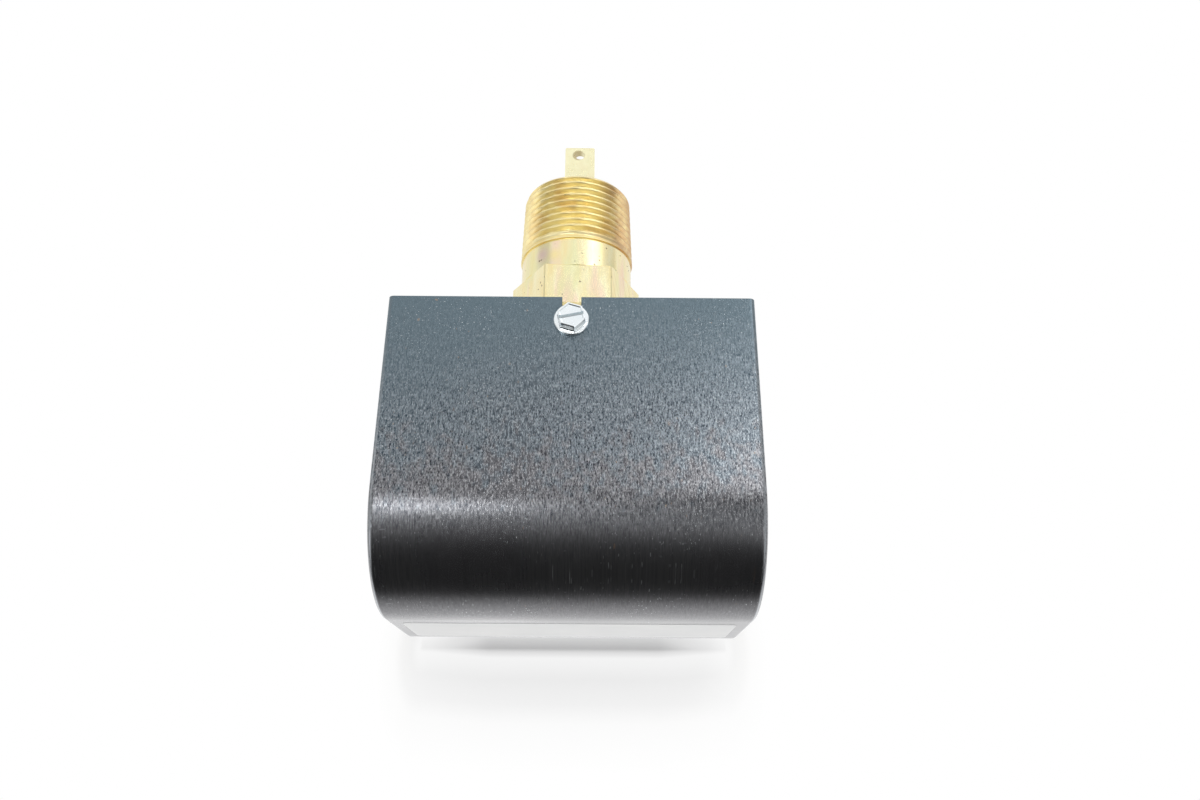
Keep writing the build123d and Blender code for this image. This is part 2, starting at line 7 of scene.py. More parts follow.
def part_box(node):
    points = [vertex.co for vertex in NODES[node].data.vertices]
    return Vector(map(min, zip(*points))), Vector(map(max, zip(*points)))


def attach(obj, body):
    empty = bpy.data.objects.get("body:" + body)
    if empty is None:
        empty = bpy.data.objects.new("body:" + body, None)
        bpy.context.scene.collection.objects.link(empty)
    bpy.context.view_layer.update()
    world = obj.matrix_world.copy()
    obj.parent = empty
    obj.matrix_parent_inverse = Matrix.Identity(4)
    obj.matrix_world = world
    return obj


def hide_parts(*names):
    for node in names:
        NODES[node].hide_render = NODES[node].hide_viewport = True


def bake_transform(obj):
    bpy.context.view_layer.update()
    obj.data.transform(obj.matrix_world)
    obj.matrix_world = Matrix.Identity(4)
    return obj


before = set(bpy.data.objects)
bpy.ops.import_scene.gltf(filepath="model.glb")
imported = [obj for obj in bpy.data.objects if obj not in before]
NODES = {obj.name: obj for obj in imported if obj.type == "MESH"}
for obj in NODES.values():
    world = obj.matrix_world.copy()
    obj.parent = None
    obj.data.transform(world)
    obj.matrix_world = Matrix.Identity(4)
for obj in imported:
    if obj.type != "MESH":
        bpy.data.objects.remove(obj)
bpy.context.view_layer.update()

MM = 0.001

# Values that a material and a shape share: places in mm, turns in radians
EDGE_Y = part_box("cover")[1].y / MM
HEX_TOP_Y = EDGE_Y + 24.3
HEAD_TURN = math.radians(-17.0)
HEAD_SLOT_TURN = math.radians(12.0)
ARM_HOLE_BACK = 2.9
ARM_HOLE_R = 1.6


# Node helpers
class Nodes:
    """A material or world node tree, with short calls for adding nodes."""

    def __init__(self, tree):
        self.tree = tree
        tree.nodes.clear()

    def add(self, kind, **values):
        """Adds a node. A key that starts with p_ sets a property, and any other names an input."""
        node = self.tree.nodes.new(kind)
        # the properties come first, since they decide which inputs there are
        for key, value in values.items():
            if key.startswith("p_"):
                setattr(node, key[2:], value)
        for key, value in values.items():
            if not key.startswith("p_"):
                self.feed(value, next(i for i in node.inputs if i.enabled and i.name == key))
        return node

    def feed(self, value, socket):
        """Links a node's output to an input, or writes a number or a colour there."""
        if isinstance(value, bpy.types.NodeSocket):
            self.tree.links.new(value, socket)
        elif socket.type == "RGBA":
            socket.default_value = (*value[:3], 1.0)
        else:
            socket.default_value = value

    def coords(self):
        return self.add("ShaderNodeTexCoord").outputs["Object"]

    def noise(self, vector, scale, detail, rough, turn=(0, 0, 0)):
        """Noise at one scale, or at a scale for each direction after a turn."""
        if isinstance(scale, tuple):
            mapping = self.add("ShaderNodeMapping", Vector=vector, Scale=scale, Rotation=turn)
            vector, scale = mapping.outputs[0], 1.0
        return self.add(
            "ShaderNodeTexNoise", Vector=vector, Scale=scale, Detail=detail, Roughness=rough
        ).outputs["Fac"]

    def span(self, value, low, high, to_low=0.0, to_high=1.0, smooth=False):
        node = self.add("ShaderNodeMapRange", Value=value)
        if smooth:
            node.interpolation_type = "SMOOTHSTEP"
        node.inputs["From Min"].default_value = low
        node.inputs["From Max"].default_value = high
        node.inputs["To Min"].default_value = to_low
        node.inputs["To Max"].default_value = to_high
        return node.outputs[0]

    def ramp(self, value, stops, reach=1.0):
        """Brightness by place, for stops of place and level, with the places from 0 to reach."""
        node = self.add("ShaderNodeValToRGB", Fac=self.span(value, 0.0, reach))
        marks = node.color_ramp.elements
        for _ in range(len(stops) - len(marks)):
            marks.new(0.5)
        for mark, (place, level) in zip(marks, stops):
            mark.position = place
            mark.color = (level, level, level, 1)
        return node.outputs["Color"]

    def choose(self, factor, a, b):
        """The number a where the factor is 0 and b where it is 1."""
        node = self.add("ShaderNodeMix", p_data_type="FLOAT")
        for index, value in ((0, factor), (2, a), (3, b)):
            self.feed(value, node.inputs[index])
        return node.outputs[0]

    def math(self, kind, a, b=None):
        node = self.add("ShaderNodeMath", p_operation=kind)
        for index, value in enumerate((a, b)):
            if value is not None:
                self.feed(value, node.inputs[index])
        return node.outputs[0]

    def mix(self, factor, a, b):
        """The colour a where the factor is 0 and b where it is 1."""
        node = self.add("ShaderNodeMix", p_data_type="RGBA")
        for index, value in ((0, factor), (6, a), (7, b)):
            self.feed(value, node.inputs[index])
        return node.outputs[2]

    def mix_shader(self, factor, a, b):
        """The shader a where the factor is 0 and b where it is 1."""
        node = self.add("ShaderNodeMixShader")
        for index, value in enumerate((factor, a.outputs[0], b.outputs[0])):
            self.tree.links.new(value, node.inputs[index])
        return node

    def split(self, vector):
        return self.add("ShaderNodeSeparateXYZ", Vector=vector).outputs

    def bump(self, height, strength, distance):
        return self.add(
            "ShaderNodeBump", Height=height, Strength=strength, Distance=distance
        ).outputs[0]


def material(name):
    mat = bpy.data.materials.new(name)
    mat.use_nodes = True
    return mat, Nodes(mat.node_tree)


def finish_surface(t, color, roughness, normal, **values):
    """Ends a tree in a Principled surface, with the values by the names of its inputs."""
    shader = t.add("ShaderNodeBsdfPrincipled", Roughness=roughness, Normal=normal,
                   **{"Base Color": color}, **values)
    t.add("ShaderNodeOutputMaterial", Surface=shader.outputs[0])


def varied_roughness(t, cloud, grain, low, high):
    """Roughness from low to high by the cloud, with a little of the grain."""
    return t.math("ADD", t.span(cloud, 0.25, 0.75, low, high), t.span(grain, 0.3, 0.7, -0.03, 0.03))


# Materials
def black_cover():
    """Black finish on brushed sheet: grain runs along the wrap, with dust and small scratches."""
    mat, t = material("cover_black")

    def back(distance):
        """Place on y, in metres, so many mm behind the open edge."""
        return (EDGE_Y - distance) * MM

    pos = t.coords()
    x, y, z = t.split(pos)
    # the distance along the wrap, so that the grain follows the bends
    along = t.math("SUBTRACT", z, y)
    normal_x = t.split(t.add("ShaderNodeTexCoord").outputs["Normal"])[0]
    fold_x = t.math("ABSOLUTE", normal_x)
    on_lip = t.span(fold_x, 0.72, 0.74)
    grain_x = t.choose(on_lip, x, z)
    grain_y = t.choose(on_lip, along, y)
    flat = t.add("ShaderNodeCombineXYZ", X=grain_x, Y=grain_y, Z=0.0).outputs[0]
    fine = t.noise(flat, (4200, 1500, 1), 2.0, 0.7)
    broad = t.noise(flat, (2050, 480, 1), 2.0, 0.65, (0, 0, 0.08))
    cloud = t.noise(pos, (30, 18, 30), 3.0, 0.5)
    grain = t.math("ADD", t.math("MULTIPLY", fine, 0.55), t.math("MULTIPLY", broad, 0.45))
    shade = t.span(grain, 0.39, 0.66)
    dusty = t.span(t.noise(pos, (70, 60, 70), 2.0, 0.5), 0.44, 0.60, 0.1, 1.0)
    dust = t.math("MULTIPLY", t.span(t.noise(flat, (2700, 2100, 1), 1.0, 0.4), 0.695, 0.73), dusty)
    rust_specks = t.noise(flat, (900, 650, 1), 1.0, 0.4, (0, 0, 0.6))
    rust = t.math("MULTIPLY", t.span(rust_specks, 0.745, 0.77), dusty)
    scratch = t.span(t.noise(flat, (420, 2600, 1), 1.0, 0.3, (0, 0, 0.5)), 0.745, 0.76)
    # the finish is smooth near the open edge and round the bend, and rubbed between them, less
    # so towards the left
    rubbed = t.math(
        "MULTIPLY", t.span(y, back(0), back(30), 0.08, 1.0),
        t.span(y, back(62), back(52), 0.05, 1.0),
    )
    slope = t.math("SUBTRACT", t.math("ADD", x, t.math("MULTIPLY", cloud, 0.04)), y)
    rubbed = t.math("MULTIPLY", rubbed, t.span(slope, 0.05, 0.10, 0.60, 1.0, smooth=True))
    # painted highlight along the rounded folds of the side lips, a lighter line where each fold
    # turns down
    fold = t.math("MULTIPLY", t.span(fold_x, 0.20, 0.40), t.span(fold_x, 0.70, 0.50))
    fold_highlight = t.math("MULTIPLY", fold, t.span(y, back(10), back(45), 0.25, 1.0))
    bluish = t.mix(shade, (0.134, 0.182, 0.210), (0.152, 0.204, 0.236))
    neutral = t.mix(shade, (0.150, 0.150, 0.158), (0.205, 0.205, 0.213))
    even = t.mix(t.span(y, back(60), back(40)), neutral, bluish)
    tint = t.noise(pos, (420, 260, 420), 3.0, 0.6)
    cool = t.mix(shade, (0.024, 0.037, 0.052), (0.385, 0.425, 0.455))
    warm = t.mix(shade, (0.033, 0.033, 0.041), (0.422, 0.417, 0.428))
    lower = t.span(y, back(30), back(58), -0.2, 0.25)
    coarse = t.mix(t.span(t.math("ADD", tint, lower), 0.42, 0.62), cool, warm)
    color = t.mix(rubbed, even, coarse)
    glint = t.math("MULTIPLY", t.span(fine, 0.61, 0.70), rubbed)
    color = t.mix(t.math("MULTIPLY", glint, 0.6), color, (0.70, 0.72, 0.74))
    color = t.mix(t.math("MULTIPLY", dust, 0.8), color, (0.66, 0.69, 0.70))
    color = t.mix(t.math("MULTIPLY", rust, 0.6), color, (0.40, 0.29, 0.21))
    color = t.mix(t.math("MULTIPLY", scratch, 0.35), color, (0.45, 0.47, 0.49))
    # painted highlight: the folds of the side lips made lighter
    color = t.mix(t.math("MULTIPLY", fold_highlight, 0.5), color, (0.60, 0.63, 0.66))
    rough = t.math(
        "ADD", t.math("MULTIPLY", t.span(grain, 0.2, 0.8, -0.05, 0.05), rubbed),
        t.span(cloud, 0.3, 0.7, 0.24, 0.31),
    )
    height = t.math("ADD", t.math("MULTIPLY", grain, rubbed), t.math("MULTIPLY", dust, 0.6))
    normal = t.bump(height, 0.25, 0.00004)
    finish_surface(t, color, rough, normal, **{"Metallic": 0.93, "Specular IOR Level": 0.5})
    return mat


def metal(name, light, dark, rough_low, rough_high, scale=180.0, stretch=(1, 1, 1), bump=0.1,
          stain=None, stain_amount=0.4, marks=None):
    """Plated or bare metal with a soft variation of colour and roughness, and a fine grain.

    The marks are a function that adds a piece's own marks to the colour.
    """
    mat, t = material(name)
    pos = t.coords()
    cloud = t.noise(pos, scale, 4.0, 0.55)
    grain = t.noise(pos, tuple(3500 * share for share in stretch), 2.0, 0.6)
    color = t.mix(t.span(cloud, 0.3, 0.7), dark, light)
    if stain is not None:
        patch = t.span(t.noise(pos, scale * 0.55, 2.0, 0.5), 0.52, 0.66, smooth=True)
        color = t.mix(t.math("MULTIPLY", patch, stain_amount), color, stain)
    if marks is not None:
        color = marks(t, pos, color)
    rough = varied_roughness(t, cloud, grain, rough_low, rough_high)
    finish_surface(t, color, rough, t.bump(grain, bump, 0.00004), Metallic=1.0)
    return mat


def chromate(name, light, dark, pink, green, rough_low, rough_high, marks=None):
    """Yellow passivated finish with faint pink and green patches, and marks as in metal()."""
    mat, t = material(name)
    pos = t.coords()
    cloud = t.noise(pos, (260, 60, 260), 4.0, 0.6)
    grain = t.noise(pos, (3200, 700, 3200), 2.0, 0.6)
    color = t.mix(t.span(cloud, 0.32, 0.68), dark, light)
    pinks = t.span(t.noise(pos, (130, 28, 130), 2.0, 0.5), 0.54, 0.66, smooth=True)
    green_cloud = t.noise(pos, (110, 35, 120), 2.0, 0.5, (0.3, 0, 0.2))
    greens = t.span(green_cloud, 0.56, 0.68, smooth=True)
    color = t.mix(t.math("MULTIPLY", pinks, 0.7), color, pink)
    color = t.mix(t.math("MULTIPLY", greens, 0.45), color, green)
    if marks is not None:
        color = marks(t, pos, color)
    rough = varied_roughness(t, cloud, grain, rough_low, rough_high)
    finish_surface(t, color, rough, t.bump(grain, 0.04, 0.00004), Metallic=1.0)
    return mat


def plastic(name, light, dark, rough, scale=900.0):
    """Moulded plastic or rubber with a pebbled surface."""
    mat, t = material(name)
    pos = t.coords()
    pebble = t.noise(pos, scale, 2.0, 0.5)
    cloud = t.noise(pos, 90.0, 3.0, 0.5)
    color = t.mix(cloud, dark, light)
    rough_map = t.span(pebble, 0.3, 0.7, rough - 0.05, rough + 0.05)
    finish_surface(t, color, rough_map, t.bump(pebble, 0.3, 0.00005))
    return mat


def bare_label():
    """Bare white label stock with faint handling marks."""
    mat, t = material("label_stock")
    pos = t.coords()
    fibre = t.noise(pos, 1400.0, 3.0, 0.6)
    cloud = t.noise(pos, 70.0, 3.0, 0.5)
    color = t.mix(t.span(cloud, 0.3, 0.7), (0.62, 0.625, 0.625), (0.68, 0.68, 0.675))
    finish_surface(t, color, 0.38, t.bump(fibre, 0.08, 0.00003), **{"Specular IOR Level": 0.5})
    return mat


def near(t, pos, place, reach):
    """1 at a place, falling to 0 at the reach, both in mm."""
    offset = t.add("ShaderNodeVectorMath", p_operation="DISTANCE", Vector=pos)
    t.feed([value * MM for value in place], offset.inputs[1])
    return t.span(offset.outputs["Value"], reach * MM, 0.0, smooth=True)


def fitting_marks(t, pos, color):
    """Dark specks, two patches below the thread and slanting scratches on the right flat."""
    x, y, _ = t.split(pos)
    violet = near(t, pos, (-9.8, -26.5, 13.4), 3.6)
    color = t.mix(t.math("MULTIPLY", violet, 0.65), color, (0.90, 0.62, 0.62))
    gold = near(t, pos, (-6.2, -27.5, 15.4), 3.0)
    color = t.mix(t.math("MULTIPLY", gold, 0.6), color, (1.0, 0.84, 0.34))
    slant = t.math("ADD", x, t.math("MULTIPLY", y, 0.21))
    across = t.add("ShaderNodeCombineXYZ", X=slant).outputs[0]
    lines = t.span(t.noise(across, (2600, 1, 1), 2.0, 0.6), 0.56, 0.66)
    below_top = t.span(y, HEX_TOP_Y * MM, (HEX_TOP_Y - 1.0) * MM)
    on_right = t.math("MULTIPLY", t.span(x, 9.2 * MM, 10.4 * MM), below_top)
    scratches = t.math("MULTIPLY", t.math("MULTIPLY", lines, on_right), 0.45)
    color = t.mix(scratches, color, (0.66, 0.44, 0.24))
    specks = t.span(t.noise(pos, (800, 800, 800), 1.0, 0.4), 0.73, 0.76)
    return t.mix(t.math("MULTIPLY", specks, 0.8), color, (0.26, 0.19, 0.10))


def thread_stain_and_shade(t, pos, color):
    """Brown stain in cloudy patches, grown towards the thread's right side as painted shade."""
    x = t.split(pos)[0]
    cloud = t.span(t.noise(pos, (200, 90, 200), 3.0, 0.6), 0.28, 0.54)
    # painted shade: the brown grows stronger towards the thread's right side
    right = t.span(x, 6.0 * MM, 13.0 * MM, smooth=True)
    stain = t.math("MULTIPLY", t.math("MULTIPLY", cloud, right), 0.85)
    return t.mix(stain, color, (0.64, 0.41, 0.22))


def slot_painted_shade(t, pos, color):
    """Painted shade: darker within the slot of the cover screw's head."""
    low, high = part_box("cover_screw")
    x, y, z = t.split(pos)
    off_x = t.math("SUBTRACT", x, (low.x + high.x) / 2)
    off_y = t.math("SUBTRACT", y, (low.y + high.y) / 2)
    aside = t.math("ABSOLUTE", t.math(
        "SUBTRACT", t.math("MULTIPLY", off_y, math.cos(HEAD_SLOT_TURN)),
        t.math("MULTIPLY", off_x, math.sin(HEAD_SLOT_TURN)),
    ))
    inside = t.math("MULTIPLY", t.span(aside, 0.46 * MM, 0.43 * MM),
                    t.span(z, high.z - 1.5 * MM, high.z - 1.4 * MM))
    # painted shade inside the slot, darker than the head around it
    return t.mix(t.math("MULTIPLY", inside, 0.3), color, (0.36, 0.42, 0.45))


def arm_marks(t, pos, color):
    """Darker brown ring round the screw hole near the arm's tip."""
    low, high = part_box("paddle_arm")
    x, y, _ = t.split(pos)
    off_x = t.math("SUBTRACT", x, (low.x + high.x) / 2)
    off_y = t.math("SUBTRACT", y, high.y - ARM_HOLE_BACK * MM)
    distance = t.math("SQRT", t.math(
        "ADD", t.math("MULTIPLY", off_x, off_x), t.math("MULTIPLY", off_y, off_y)
    ))
    ring = t.span(distance, (ARM_HOLE_R + 0.5) * MM, (ARM_HOLE_R + 0.05) * MM, smooth=True)
    return t.mix(t.math("MULTIPLY", ring, 0.7), color, (0.42, 0.32, 0.15))


MATS = {
    "black": black_cover(),
    "label": bare_label(),
    "zinc": metal("bright_zinc", (0.96, 0.99, 1.0), (0.89, 0.93, 0.95), 0.16, 0.24,
                  bump=0.02),
    "head": metal("screw_head_zinc", (0.97, 1.0, 1.0), (0.92, 0.97, 0.99), 0.12, 0.18,
                  bump=0.02, marks=slot_painted_shade),
    "bracket": metal("bracket_zinc", (0.72, 0.74, 0.76), (0.62, 0.64, 0.66), 0.34, 0.46,
                     bump=0.04),
    "steel": metal("plain_steel", (0.62, 0.62, 0.63), (0.50, 0.50, 0.52), 0.22, 0.34),
    "brass": metal("turned_brass", (0.86, 0.70, 0.36), (0.78, 0.60, 0.27), 0.18, 0.30,
                   stretch=(0.25, 1, 0.25)),
    "thread": metal("thread_brass", (1.0, 0.88, 0.50), (0.94, 0.77, 0.37), 0.28, 0.36,
                    scale=220.0, stretch=(0.2, 1, 0.2), bump=0.02, stain=(0.70, 0.44, 0.17),
                    stain_amount=0.35, marks=thread_stain_and_shade),
    "chromate": chromate("yellow_chromate", (1.0, 0.94, 0.62), (0.96, 0.80, 0.42),
                         (0.95, 0.68, 0.54), (0.84, 0.84, 0.46), 0.14, 0.24,
                         marks=fitting_marks),
    "yellow_zinc": chromate("yellow_zinc", (0.88, 0.76, 0.44), (0.78, 0.64, 0.30),
                            (0.84, 0.56, 0.50), (0.60, 0.72, 0.42), 0.24, 0.38),
    "arm": metal("arm_brass", (0.99, 0.94, 0.64), (0.93, 0.86, 0.54), 0.24, 0.36,
                 stretch=(1, 0.15, 1), stain=(0.88, 0.72, 0.44), stain_amount=0.25,
                 marks=arm_marks),
    "bronze": metal("bellows_bronze", (0.72, 0.48, 0.26), (0.58, 0.36, 0.18), 0.25, 0.38),
    "spring": metal("spring_steel", (0.50, 0.51, 0.53), (0.34, 0.35, 0.37), 0.28, 0.40),
    "green": metal("green_screw", (0.06, 0.42, 0.15), (0.03, 0.28, 0.09), 0.30, 0.42),
    "gasket": plastic("gasket_rubber", (0.035, 0.035, 0.037), (0.02, 0.02, 0.022), 0.62),
    "case": plastic("switch_case_plastic", (0.045, 0.045, 0.050), (0.03, 0.03, 0.034), 0.48),
    "lid": plastic("switch_lid_plastic", (0.34, 0.075, 0.045), (0.27, 0.055, 0.032), 0.46),
    "plunger": plastic("plunger_plastic", (0.66, 0.09, 0.06), (0.55, 0.06, 0.04), 0.32),
    "fibre": plastic("insulating_fibre", (0.60, 0.52, 0.38), (0.50, 0.42, 0.29), 0.72,
                     scale=2200.0),
}
NODE_MATS = {
    "cover": "black", "cover_label": "label", "cover_screw": "zinc",
    "base_plate": "yellow_zinc", "left_end_plate": "yellow_zinc",
    "right_end_plate": "yellow_zinc", "end_plate_rivets": "steel", "pipe_fitting": "chromate",
    "fitting_gasket": "gasket", "fitting_locknut": "brass", "bellows": "bronze",
    "pivot_pin": "steel", "paddle_arm": "arm", "arm_rod": "steel", "switch_lever": "bracket",
    "spring_seat": "brass", "range_spring": "spring", "range_nut": "brass",
    "range_bracket": "bracket", "range_screw": "brass", "range_screw_clip": "spring",
    "limit_bracket": "bracket", "switch_bracket": "bracket", "insulating_sheet": "fibre",
    "switch_case": "case", "switch_lid": "lid", "switch_plunger": "plunger",
    "switch_terminals": "brass", "terminal_screws": "zinc",
    "switch_mounting_screws": "zinc", "switch_mounting_nuts": "zinc",
    "bracket_screws": "zinc", "ground_screw": "green",
}


for node, key in NODE_MATS.items():
    NODES[node].data.materials.clear()
    NODES[node].data.materials.append(MATS[key])


# Mesh helpers
UP = (0, 0, 1)


def closed_mesh(name, verts, faces):
    """Mesh from vertices in metres, with its faces turned outwards."""
    mesh = bpy.data.meshes.new(name)
    mesh.from_pydata(verts, [], faces)
    mesh.validate()
    shell = bmesh.new()
    shell.from_mesh(mesh)
    bmesh.ops.recalc_face_normals(shell, faces=shell.faces)
    shell.to_mesh(mesh)
    shell.free()
    return mesh


def add_object(name, data):
    obj = bpy.data.objects.new(name, data)
    bpy.context.collection.objects.link(obj)
    return obj


def make_mesh(name, verts, faces, mat, body, slot, sharp=35.0):
    """A piece from vertices in metres, smooth apart from its sharp edges.

    It rides on a body where one is given.
    """
    mesh = closed_mesh(name, verts, faces)
    mesh.polygons.foreach_set("use_smooth", [True] * len(mesh.polygons))
    mesh.set_sharp_from_angle(angle=math.radians(sharp))
    obj = add_object(name, mesh)
    mesh.materials.append(mat)
    if body is not None:
        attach(obj, body)
    return obj


def lattice(rings):
    """Vertices and faces of an open tube through rings with the same number of points."""
    count = len(rings[0])
    verts = [point for ring in rings for point in ring]
    faces = []
    for row in range(len(rings) - 1):
        for k in range(count):
            a = row * count + k
            b = row * count + (k + 1) % count
            faces.append((a, b, b + count, a + count))
    return verts, faces


def closed_tube(rings):
    """Vertices and faces of a tube whose first and last ring are closed by a face."""
    verts, faces = lattice(rings)
    count = len(rings[0])
    faces.append(tuple(range(count))[::-1])
    faces.append(tuple(range(len(verts) - count, len(verts))))
    return verts, faces


def basis(axis, turn):
    """Three unit directions: the last is the axis, and the first two are turned about it."""
    along = Vector(axis).normalized()
    side = Vector((1, 0, 0)) if abs(along.x) < 0.5 else Vector((0, 1, 0))
    first = (side - along * side.dot(along)).normalized()
    second = along.cross(first)
    return (
        first * math.cos(turn) + second * math.sin(turn),
        second * math.cos(turn) - first * math.sin(turn),
        along,
    )


def spin(rows, place, axis, turn, around):
    """Closed shell about an axis, in mm. A row is a distance and a radius, or a radius by angle."""
    first, second, along = basis(axis, turn)
    rings = []
    for distance, radius in rows:
        ring = []
        for k in range(around):
            angle = 2 * math.pi * k / around
            r = radius(angle) if callable(radius) else radius
            point = Vector(place) + along * distance
            point += first * (r * math.cos(angle)) + second * (r * math.sin(angle))
            ring.append(tuple(point * MM))
        rings.append(ring)
    return closed_tube(rings)


def hexagon(flats, limit=math.inf, extra=0.0):
    """Radius by angle of a hexagon with corners no further out than the limit."""
    def radius(angle):
        local = angle % (math.pi / 3) - math.pi / 6
        return min(limit, flats / 2 / math.cos(local)) + extra

    return radius


def join(shells):
    """One list of vertices and one of faces from several shells."""
    verts, faces = [], []
    for shell_verts, shell_faces in shells:
        start = len(verts)
        verts += shell_verts
        faces += [tuple(start + index for index in face) for face in shell_faces]
    return verts, faces


def cut_slots(obj, slots, sharp=30.0):
    """Cuts straight slots into a piece. Each has a place, an axis, a turn and a size in mm."""
    shells = []
    for place, axis, turn, size in slots:
        directions = basis(axis, turn)
        corners = []
        for signs in ((-1, -1), (1, -1), (1, 1), (-1, 1)):
            for depth in (-1, 1):
                offset = Vector((0, 0, 0))
                for direction, length, sign in zip(directions, size, (*signs, depth)):
                    offset += direction * (length / 2 * sign)
                corners.append(tuple((Vector(place) + offset) * MM))
        walls = [(2 * k, 2 * k + 1, (2 * k + 3) % 8, (2 * k + 2) % 8) for k in range(4)]
        shells.append((corners, walls + [(0, 2, 4, 6), (1, 7, 5, 3)]))
    cutter = add_object("cutter", closed_mesh("cutter", *join(shells)))
    modifier = obj.modifiers.new("slot", "BOOLEAN")
    modifier.operation = "DIFFERENCE"
    modifier.object = cutter
    modifier.solver = "EXACT"
    bpy.context.view_layer.update()
    depsgraph = bpy.context.evaluated_depsgraph_get()
    obj.data = bpy.data.meshes.new_from_object(obj.evaluated_get(depsgraph))
    obj.modifiers.clear()
    obj.data.set_sharp_from_angle(angle=math.radians(sharp))
    bpy.data.objects.remove(cutter)


def solids(node):
    """Lowest and highest corner, in mm, of each separate solid in a CAD node."""
    mesh = NODES[node].data
    # places in whole micrometres, so that corners in the same place are the same key
    keys = [tuple(round(c * 1e6) for c in vertex.co) for vertex in mesh.vertices]
    group = {key: key for key in keys}

    def root(key):
        while group[key] != key:
            key = group[key]
        return key

    for polygon in mesh.polygons:
        first = root(keys[polygon.vertices[0]])
        for index in polygon.vertices[1:]:
            group[root(keys[index])] = first
    members = {}
    for key in sorted(set(keys)):
        members.setdefault(root(key), []).append(key)
    return [
        (
            Vector([min(p[k] for p in points) / 1000 for k in range(3)]),
            Vector([max(p[k] for p in points) / 1000 for k in range(3)]),
        )
        for points in members.values()
    ]


def label_sheet():
    """Thin sheet with rounded corners on the cover's end face."""
    low, high = [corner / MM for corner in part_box("cover_label")]
    corner_r, sheet_t, steps = 1.5, 0.05, 6
    outline = []
    for quarter, (x, z) in enumerate((
        (high.x, high.z), (low.x, high.z), (low.x, low.z), (high.x, low.z),
    )):
        middle_x = x - math.copysign(corner_r, x)
        middle_z = z - corner_r if quarter < 2 else z + corner_r
        for k in range(steps + 1):
            angle = math.pi / 2 * (quarter + k / steps)
            outline.append((
                middle_x + corner_r * math.cos(angle), middle_z + corner_r * math.sin(angle),
            ))
    rings = [
        [(x * MM, y * MM, z * MM) for x, z in outline] for y in (high.y, high.y - sheet_t)
    ]
    obj = make_mesh("label_sheet", *closed_tube(rings), MATS["label"], "cover", "label")
    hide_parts("cover_label")


label_sheet()


# Pipe fitting
PITCH = 25.4 / 11.5
TAPER = 1 / 32
THREAD_END_R = 16.4
THREAD_LEN = 23.0
THREAD_DEPTH = 1.15
SHANK_R = 16.65
BORE_R = 11.5
SEAL_BORE_R = 9.2
SPIGOT_R = 12.0
HEX_FLATS = 33.34
HEX_TURN = math.radians(-3.0)
STEP_Y = EDGE_Y + 6.5
SPIGOT_END_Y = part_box("pipe_fitting")[0].y / MM


def thread_radius(y, angle):
    """Radius of the helical thread, y mm from the free end at 0 to the shank."""
    crest_share, flank_share, run_out_turns = 0.16, 0.70, 1.6
    lead_in_depth, lead_in_len = 0.8, 1.2
    crest = THREAD_END_R - TAPER * y
    phase = (-y / PITCH + angle / (2 * math.pi)) % 1.0
    flank = abs(2 * phase - 1)
    cut = THREAD_DEPTH * max(0.0, min(1.0, (flank - crest_share) / flank_share))
    run_out = min(1.0, max(0.0, (THREAD_LEN - 0.5 + y) / (run_out_turns * PITCH)))
    lead_in = lead_in_depth * max(0.0, 1.0 + y / lead_in_len)
    return crest - max(cut * run_out, lead_in)


def fitting():
    """Pipe fitting with a cut taper thread, a shank, a hexagon, a spigot and its bores."""
    rows, points = 180, 192
    lip, chamfer, spigot_chamfer, mouth_chamfer, rim_w = 0.12, 0.2, 0.4, 1.0, 0.9
    corner_half = 0.7
    # each of the hexagon's corners gets two points, so that it is a narrow flat
    degrees = []
    for k in range(points):
        degree = 360 * k / points
        if degree % 60 == 0:
            degrees += [degree - corner_half, degree + corner_half]
        else:
            degrees.append(degree)
    angles = [HEX_TURN + math.radians(degree) for degree in degrees]
    around = len(angles)
    rings = []

    def ring(y, radius):
        rings.append([
            (radius(angle) * math.cos(angle) * MM, y * MM, radius(angle) * math.sin(angle) * MM)
            for angle in angles
        ])

    def plain(y, r):
        ring(y, lambda angle: r)

    def hex_side(shrink):
        side = hexagon(HEX_FLATS - 2 * shrink)
        return lambda angle: side(angle - HEX_TURN)

    for y, r in (
        (SPIGOT_END_Y, SEAL_BORE_R), (STEP_Y, SEAL_BORE_R), (STEP_Y, BORE_R),
        (-mouth_chamfer, BORE_R), (0.0, BORE_R + mouth_chamfer), (0.0, THREAD_END_R - rim_w),
    ):
        plain(y, r)
    for k in range(rows + 1):
        y = -lip - (THREAD_LEN - lip) * k / rows
        ring(y, lambda angle, y=y: thread_radius(y, angle) if y > -THREAD_LEN + 0.4 else SHANK_R)
    plain(HEX_TOP_Y, SHANK_R)
    ring(HEX_TOP_Y, hex_side(chamfer))
    ring(HEX_TOP_Y - chamfer, hex_side(0.0))
    ring(EDGE_Y + chamfer, hex_side(0.0))
    ring(EDGE_Y, hex_side(chamfer))
    plain(EDGE_Y, SPIGOT_R)
    plain(SPIGOT_END_Y + spigot_chamfer, SPIGOT_R)
    plain(SPIGOT_END_Y, SPIGOT_R - spigot_chamfer)
    verts, faces = lattice(rings)
    last = (len(rings) - 1) * around
    for k in range(around):
        after = (k + 1) % around
        faces.append((last + k, last + after, after, k))
    obj = make_mesh("fitting_body", verts, faces, MATS["chromate"], "housing", "brass", 28.0)
    obj.data.materials.append(MATS["thread"])
    outside_r = BORE_R + 1.2
    for poly in obj.data.polygons:
        radius = math.hypot(poly.center.x, poly.center.z) / MM
        if poly.center.y / MM > -THREAD_LEN and radius > outside_r:
            poly.material_index = 1
    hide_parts("pipe_fitting")


fitting()


